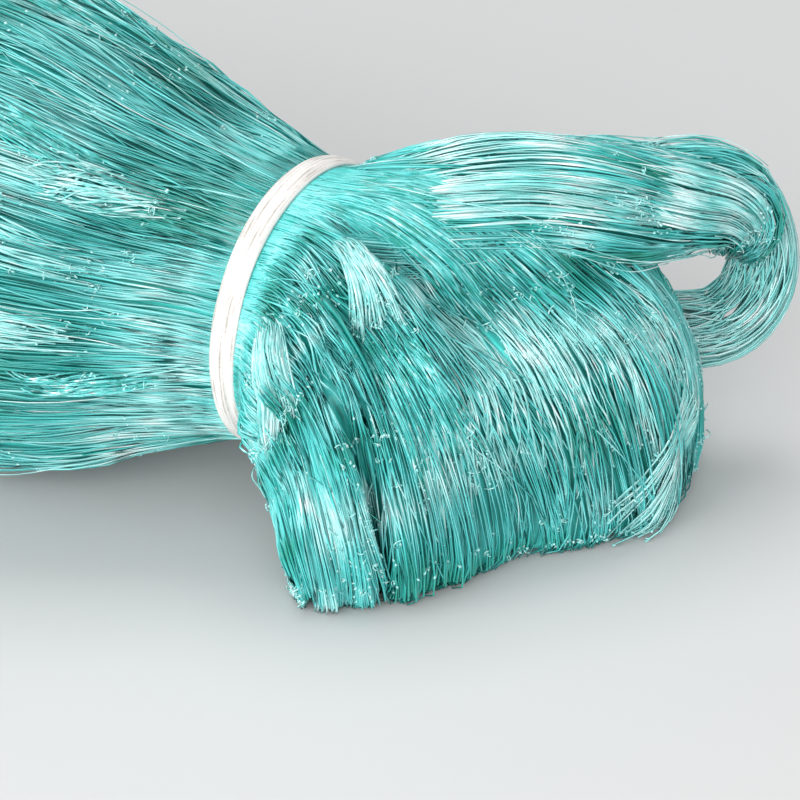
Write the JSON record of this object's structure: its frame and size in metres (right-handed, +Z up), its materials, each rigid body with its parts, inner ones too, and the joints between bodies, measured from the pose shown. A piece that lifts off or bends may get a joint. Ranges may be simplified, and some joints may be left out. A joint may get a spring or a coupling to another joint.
{
  "type": "fishing net",
  "caption": "Hank of knotted monofilament fishing net, gathered lengthwise, tied round its neck with a flat tape, its short tail splayed out in pleats.",
  "frame": {"origin": "in the flat resting face under the thickest part of the body, at the height of the surface that the hank lies on", "axes": "+X along the hank from its closed end towards the tie and the tail, +Y to the hank's far side, +Z up"},
  "size_m": [0.3586, 0.1728, 0.1264],
  "materials": {
    "net_monofilament": "glossy, slightly sheer sea-green nylon filament, in fine lengthwise strands with rows of small knots",
    "tie_tape": "soft off-white flat tape with fine lengthwise ribs"
  },
  "bodies": {
    "root": {"net": "net_monofilament", "tie": "tie_tape"}
  },
  "joints": []
}
